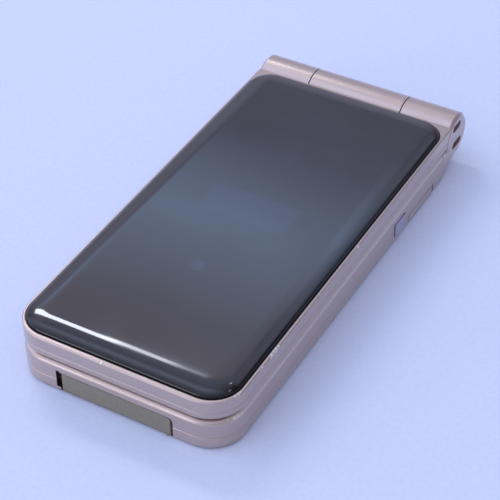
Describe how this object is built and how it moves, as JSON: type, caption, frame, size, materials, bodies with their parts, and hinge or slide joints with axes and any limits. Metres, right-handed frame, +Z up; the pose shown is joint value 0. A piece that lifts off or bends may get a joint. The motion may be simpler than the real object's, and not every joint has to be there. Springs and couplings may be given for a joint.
{
  "type": "flip phone",
  "caption": "Clamshell mobile phone that folds on a three-part rear barrel hinge, with an outer display under a domed window, sprung keys, covered ports and a lift-off battery cover.",
  "frame": {"origin": "middle of the bounding box at the underside, which rests on the table with the phone closed", "axes": "+Y along the length toward the hinge barrel, +Z up through the closed lid, +X to the side with the side key and the strap holes"},
  "size_m": [0.0513, 0.1138, 0.0151],
  "materials": {
    "champagne_paint": "satin metallic paint, rubbed at the edges",
    "smoked_window": "gloss smoked acrylic",
    "lens_black": "gloss black acrylic",
    "display_glass": "display glass",
    "graphite": "matt moulded",
    "board": "solder mask",
    "steel": "plated",
    "brass": "turned",
    "olive": "moulded elastomer, satin",
    "side_key_paint": "satin metallic paint",
    "key_paint": "painted, semi gloss",
    "ring_paint": "painted, semi gloss",
    "rubber": "matt",
    "flex": "polyimide film",
    "dome_sheet": "film",
    "antenna": "moulded carrier",
    "lamp": "translucent"
  },
  "bodies": {
    "base": {"base_upper_case": "champagne_paint", "base_lower_case": "champagne_paint", "battery_pack": "graphite", "main_board": "board", "dome_sheet": "dome_sheet", "base_screws": "steel", "external_connector": "steel", "card_socket": "steel", "loudspeaker": "graphite", "camera_module": "graphite", "camera_window": "lens_black", "microphone": "steel", "vibration_motor": "steel", "antenna": "antenna", "base_flex": "flex", "hinge_cap": "champagne_paint", "hinge_cartridge": "steel", "hinge_spring": "steel", "hinge_friction_disc": "brass", "hinge_bush": "brass"},
    "lid": {"lid_outer_case": "champagne_paint", "lid_inner_case": "champagne_paint", "lid_hinge_barrel": "champagne_paint", "lid_window": "smoked_window", "display_lens": "lens_black", "main_display": "display_glass", "lid_board": "board", "lid_flex": "flex", "outer_display": "display_glass", "indicator_lamp": "lamp", "earpiece": "graphite", "lid_magnet": "steel", "lid_cushions": "rubber", "lid_screws": "steel", "hinge_rotor": "steel"},
    "battery_cover": {"battery_cover": "champagne_paint"},
    "connector_cover": {"connector_cover": "olive"},
    "card_slot_cover": {"card_slot_cover": "champagne_paint"},
    "side_key": {"side_key": "side_key_paint"},
    "key_1": {"key_1": "key_paint"},
    "key_2": {"key_2": "key_paint"},
    "key_3": {"key_3": "key_paint"},
    "key_4": {"key_4": "key_paint"},
    "key_5": {"key_5": "key_paint"},
    "key_6": {"key_6": "key_paint"},
    "key_7": {"key_7": "key_paint"},
    "key_8": {"key_8": "key_paint"},
    "key_9": {"key_9": "key_paint"},
    "key_star": {"key_star": "key_paint"},
    "key_0": {"key_0": "key_paint"},
    "key_hash": {"key_hash": "key_paint"},
    "call_key": {"call_key": "key_paint"},
    "clear_key": {"clear_key": "key_paint"},
    "end_key": {"end_key": "key_paint"},
    "soft_key_left": {"soft_key_left": "key_paint"},
    "soft_key_right": {"soft_key_right": "key_paint"},
    "mail_key": {"mail_key": "key_paint"},
    "browser_key": {"browser_key": "key_paint"},
    "four_way_ring": {"four_way_ring": "ring_paint"},
    "center_key": {"center_key": "key_paint"}
  },
  "joints": [
    {"name": "lid_hinge", "type": "hinge", "parent": "base", "child": "lid", "pos_m": [0, 0.0514, 0.009], "axis": [-1, 0, 0], "range_deg": [0, 165]},
    {"name": "connector_cover_hinge", "type": "hinge", "parent": "base", "child": "connector_cover", "pos_m": [0.0119, -0.0565, 0.003], "axis": [0, 0, 1], "range_deg": [0, 95]},
    {"name": "card_slot_cover_hinge", "type": "hinge", "parent": "base", "child": "card_slot_cover", "pos_m": [0.0249, 0.0383, 0.0017], "axis": [0, 0, 1], "range_deg": [0, 90]},
    {"name": "battery_cover_lift", "type": "slide", "parent": "base", "child": "battery_cover", "axis": [0, 0, -1], "range_m": [0, 0.012]},
    {"name": "side_key_press", "type": "slide", "parent": "base", "child": "side_key", "axis": [-1, 0, 0], "range_m": [0, 0.0003], "stiffness_N_per_m": 400, "springref_m": -0.0002},
    {"name": "key_1_press", "type": "slide", "parent": "base", "child": "key_1", "axis": [0, 0, -1], "range_m": [0, 0.00025], "stiffness_N_per_m": 400, "springref_m": -0.0002},
    {"name": "key_2_press", "type": "slide", "parent": "base", "child": "key_2", "axis": [0, 0, -1], "range_m": [0, 0.00025], "stiffness_N_per_m": 400, "springref_m": -0.0002},
    {"name": "key_3_press", "type": "slide", "parent": "base", "child": "key_3", "axis": [0, 0, -1], "range_m": [0, 0.00025], "stiffness_N_per_m": 400, "springref_m": -0.0002},
    {"name": "key_4_press", "type": "slide", "parent": "base", "child": "key_4", "axis": [0, 0, -1], "range_m": [0, 0.00025], "stiffness_N_per_m": 400, "springref_m": -0.0002},
    {"name": "key_5_press", "type": "slide", "parent": "base", "child": "key_5", "axis": [0, 0, -1], "range_m": [0, 0.00025], "stiffness_N_per_m": 400, "springref_m": -0.0002},
    {"name": "key_6_press", "type": "slide", "parent": "base", "child": "key_6", "axis": [0, 0, -1], "range_m": [0, 0.00025], "stiffness_N_per_m": 400, "springref_m": -0.0002},
    {"name": "key_7_press", "type": "slide", "parent": "base", "child": "key_7", "axis": [0, 0, -1], "range_m": [0, 0.00025], "stiffness_N_per_m": 400, "springref_m": -0.0002},
    {"name": "key_8_press", "type": "slide", "parent": "base", "child": "key_8", "axis": [0, 0, -1], "range_m": [0, 0.00025], "stiffness_N_per_m": 400, "springref_m": -0.0002},
    {"name": "key_9_press", "type": "slide", "parent": "base", "child": "key_9", "axis": [0, 0, -1], "range_m": [0, 0.00025], "stiffness_N_per_m": 400, "springref_m": -0.0002},
    {"name": "key_star_press", "type": "slide", "parent": "base", "child": "key_star", "axis": [0, 0, -1], "range_m": [0, 0.00025], "stiffness_N_per_m": 400, "springref_m": -0.0002},
    {"name": "key_0_press", "type": "slide", "parent": "base", "child": "key_0", "axis": [0, 0, -1], "range_m": [0, 0.00025], "stiffness_N_per_m": 400, "springref_m": -0.0002},
    {"name": "key_hash_press", "type": "slide", "parent": "base", "child": "key_hash", "axis": [0, 0, -1], "range_m": [0, 0.00025], "stiffness_N_per_m": 400, "springref_m": -0.0002},
    {"name": "call_key_press", "type": "slide", "parent": "base", "child": "call_key", "axis": [0, 0, -1], "range_m": [0, 0.00025], "stiffness_N_per_m": 400, "springref_m": -0.0002},
    {"name": "clear_key_press", "type": "slide", "parent": "base", "child": "clear_key", "axis": [0, 0, -1], "range_m": [0, 0.00025], "stiffness_N_per_m": 400, "springref_m": -0.0002},
    {"name": "end_key_press", "type": "slide", "parent": "base", "child": "end_key", "axis": [0, 0, -1], "range_m": [0, 0.00025], "stiffness_N_per_m": 400, "springref_m": -0.0002},
    {"name": "soft_key_left_press", "type": "slide", "parent": "base", "child": "soft_key_left", "axis": [0, 0, -1], "range_m": [0, 0.00025], "stiffness_N_per_m": 400, "springref_m": -0.0002},
    {"name": "soft_key_right_press", "type": "slide", "parent": "base", "child": "soft_key_right", "axis": [0, 0, -1], "range_m": [0, 0.00025], "stiffness_N_per_m": 400, "springref_m": -0.0002},
    {"name": "mail_key_press", "type": "slide", "parent": "base", "child": "mail_key", "axis": [0, 0, -1], "range_m": [0, 0.00025], "stiffness_N_per_m": 400, "springref_m": -0.0002},
    {"name": "browser_key_press", "type": "slide", "parent": "base", "child": "browser_key", "axis": [0, 0, -1], "range_m": [0, 0.00025], "stiffness_N_per_m": 400, "springref_m": -0.0002},
    {"name": "four_way_ring_press", "type": "slide", "parent": "base", "child": "four_way_ring", "axis": [0, 0, -1], "range_m": [0, 0.00025], "stiffness_N_per_m": 400, "springref_m": -0.0002},
    {"name": "center_key_press", "type": "slide", "parent": "base", "child": "center_key", "axis": [0, 0, -1], "range_m": [0, 0.00025], "stiffness_N_per_m": 400, "springref_m": -0.0002}
  ]
}
